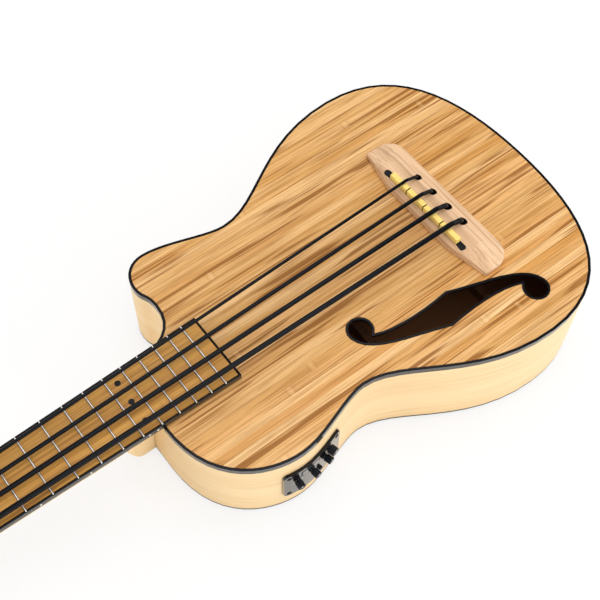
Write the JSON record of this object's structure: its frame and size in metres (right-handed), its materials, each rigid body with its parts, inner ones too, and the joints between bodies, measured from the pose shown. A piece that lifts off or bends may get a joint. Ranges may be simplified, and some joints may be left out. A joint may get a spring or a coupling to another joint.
{
  "type": "bass ukulele",
  "caption": "Acoustic-electric bass ukulele with a single cutaway, bound hollow body, f-hole, side preamp, bridge, fretted neck and geared tuners, lying on its flat back.",
  "frame": {"origin": "on the back's flat outer face, on the centre line, under the narrowest part of the waist", "axes": "+X runs from the head to the tail, +Y to the cutaway (treble) side, +Z out of the soundboard, so the instrument lies on its back"},
  "size_m": [0.7807, 0.2794, 0.1049],
  "materials": {
    "top_bamboo": "satin lacquer",
    "pale_bamboo": "satin lacquer",
    "spruce": "bare",
    "board_bamboo": "oiled",
    "bridge_wood": "satin",
    "black_binding": "gloss",
    "black_plastic": "gloss",
    "string_rubber": "satin",
    "black_metal": "gloss",
    "fret_steel": "polished",
    "post_steel": "polished",
    "pickup_brass": "bare",
    "bone": "satin"
  },
  "bodies": {
    "instrument": {"soundboard": "top_bamboo", "back": "pale_bamboo", "binding_top": "black_binding", "binding_back": "black_binding", "f_hole_binding": "black_binding", "side_bass": "pale_bamboo", "side_treble": "pale_bamboo", "lining_back": "spruce", "lining_top": "spruce", "neck_block": "spruce", "tail_block": "spruce", "top_bracing": "spruce", "back_bracing": "spruce", "neck": "pale_bamboo", "fretboard": "board_bamboo", "fretboard_binding": "black_binding", "fret_01": "fret_steel", "fret_02": "fret_steel", "fret_03": "fret_steel", "fret_04": "fret_steel", "fret_05": "fret_steel", "fret_06": "fret_steel", "fret_07": "fret_steel", "fret_08": "fret_steel", "fret_09": "fret_steel", "fret_10": "fret_steel", "fret_11": "fret_steel", "fret_12": "fret_steel", "fret_13": "fret_steel", "fret_14": "fret_steel", "fret_15": "fret_steel", "fret_16": "fret_steel", "nut": "bone", "bridge": "bridge_wood", "saddle": "bone", "pickup_strip": "pickup_brass", "string_1": "string_rubber", "string_2": "string_rubber", "string_3": "string_rubber", "string_4": "string_rubber", "preamp_panel": "black_plastic", "preamp_box": "black_plastic", "endpin_jack": "black_metal", "tuner_housing_1": "black_metal", "tuner_housing_2": "black_metal", "tuner_housing_3": "black_metal", "tuner_housing_4": "black_metal"},
    "preamp_knob_1_body": {"preamp_knob_1": "black_plastic"},
    "preamp_knob_2_body": {"preamp_knob_2": "black_plastic"},
    "preamp_knob_3_body": {"preamp_knob_3": "black_plastic"},
    "preamp_knob_4_body": {"preamp_knob_4": "black_plastic"},
    "preamp_button_body": {"preamp_button": "black_plastic"},
    "tuner_post_1_body": {"tuner_post_1": "post_steel"},
    "tuner_key_1_body": {"tuner_key_1": "black_metal"},
    "tuner_post_2_body": {"tuner_post_2": "post_steel"},
    "tuner_key_2_body": {"tuner_key_2": "black_metal"},
    "tuner_post_3_body": {"tuner_post_3": "post_steel"},
    "tuner_key_3_body": {"tuner_key_3": "black_metal"},
    "tuner_post_4_body": {"tuner_post_4": "post_steel"},
    "tuner_key_4_body": {"tuner_key_4": "black_metal"}
  },
  "joints": [
    {"name": "tuner_key_1_turn", "type": "hinge", "parent": "instrument", "child": "tuner_key_1_body", "pos_m": [-0.44833, 0.0314, 0.03467], "axis": [0, 1, 0], "continuous": true},
    {"name": "tuner_post_1_turn", "type": "hinge", "parent": "instrument", "child": "tuner_post_1_body", "pos_m": [-0.44357, 0.02, 0.05512], "axis": [-0.2803, 0, 0.9599], "continuous": true},
    {"name": "tuner_key_2_turn", "type": "hinge", "parent": "instrument", "child": "tuner_key_2_body", "pos_m": [-0.49633, 0.0314, 0.02065], "axis": [0, 1, 0], "continuous": true},
    {"name": "tuner_post_2_turn", "type": "hinge", "parent": "instrument", "child": "tuner_post_2_body", "pos_m": [-0.49157, 0.02, 0.04111], "axis": [-0.2803, 0, 0.9599], "continuous": true},
    {"name": "tuner_key_3_turn", "type": "hinge", "parent": "instrument", "child": "tuner_key_3_body", "pos_m": [-0.49633, -0.0314, 0.02065], "axis": [0, -1, 0], "continuous": true},
    {"name": "tuner_post_3_turn", "type": "hinge", "parent": "instrument", "child": "tuner_post_3_body", "pos_m": [-0.49157, -0.02, 0.04111], "axis": [-0.2803, 0, 0.9599], "continuous": true},
    {"name": "tuner_key_4_turn", "type": "hinge", "parent": "instrument", "child": "tuner_key_4_body", "pos_m": [-0.44833, -0.0314, 0.03467], "axis": [0, -1, 0], "continuous": true},
    {"name": "tuner_post_4_turn", "type": "hinge", "parent": "instrument", "child": "tuner_post_4_body", "pos_m": [-0.44357, -0.02, 0.05512], "axis": [-0.2803, 0, 0.9599], "continuous": true},
    {"name": "preamp_knob_1_turn", "type": "hinge", "parent": "instrument", "child": "preamp_knob_1_body", "pos_m": [-0.07586, -0.10732, 0.03943], "axis": [-0.1015, -0.9948, -0.004], "range_deg": [-140, 140]},
    {"name": "preamp_knob_2_turn", "type": "hinge", "parent": "instrument", "child": "preamp_knob_2_body", "pos_m": [-0.06163, -0.10719, 0.04], "axis": [0.1234, -0.9923, 0.0049], "range_deg": [-140, 140]},
    {"name": "preamp_knob_3_turn", "type": "hinge", "parent": "instrument", "child": "preamp_knob_3_body", "pos_m": [-0.04769, -0.10426, 0.04055], "axis": [0.2593, -0.9657, 0.0103], "range_deg": [-140, 140]},
    {"name": "preamp_knob_4_turn", "type": "hinge", "parent": "instrument", "child": "preamp_knob_4_body", "pos_m": [-0.04386, -0.10304, 0.04901], "axis": [0.2796, -0.96, 0.0111], "range_deg": [-140, 140]},
    {"name": "preamp_button_press", "type": "slide", "parent": "instrument", "child": "preamp_button_body", "axis": [-0.2068, 0.9784, -0.0082], "range_m": [0, 0.0012], "stiffness_N_per_m": 150}
  ],
  "couplings": [
    {"joint": "tuner_post_1_turn", "follows": "tuner_key_1_turn", "ratio": 0.066667},
    {"joint": "tuner_post_2_turn", "follows": "tuner_key_2_turn", "ratio": 0.066667},
    {"joint": "tuner_post_3_turn", "follows": "tuner_key_3_turn", "ratio": -0.066667},
    {"joint": "tuner_post_4_turn", "follows": "tuner_key_4_turn", "ratio": -0.066667}
  ]
}
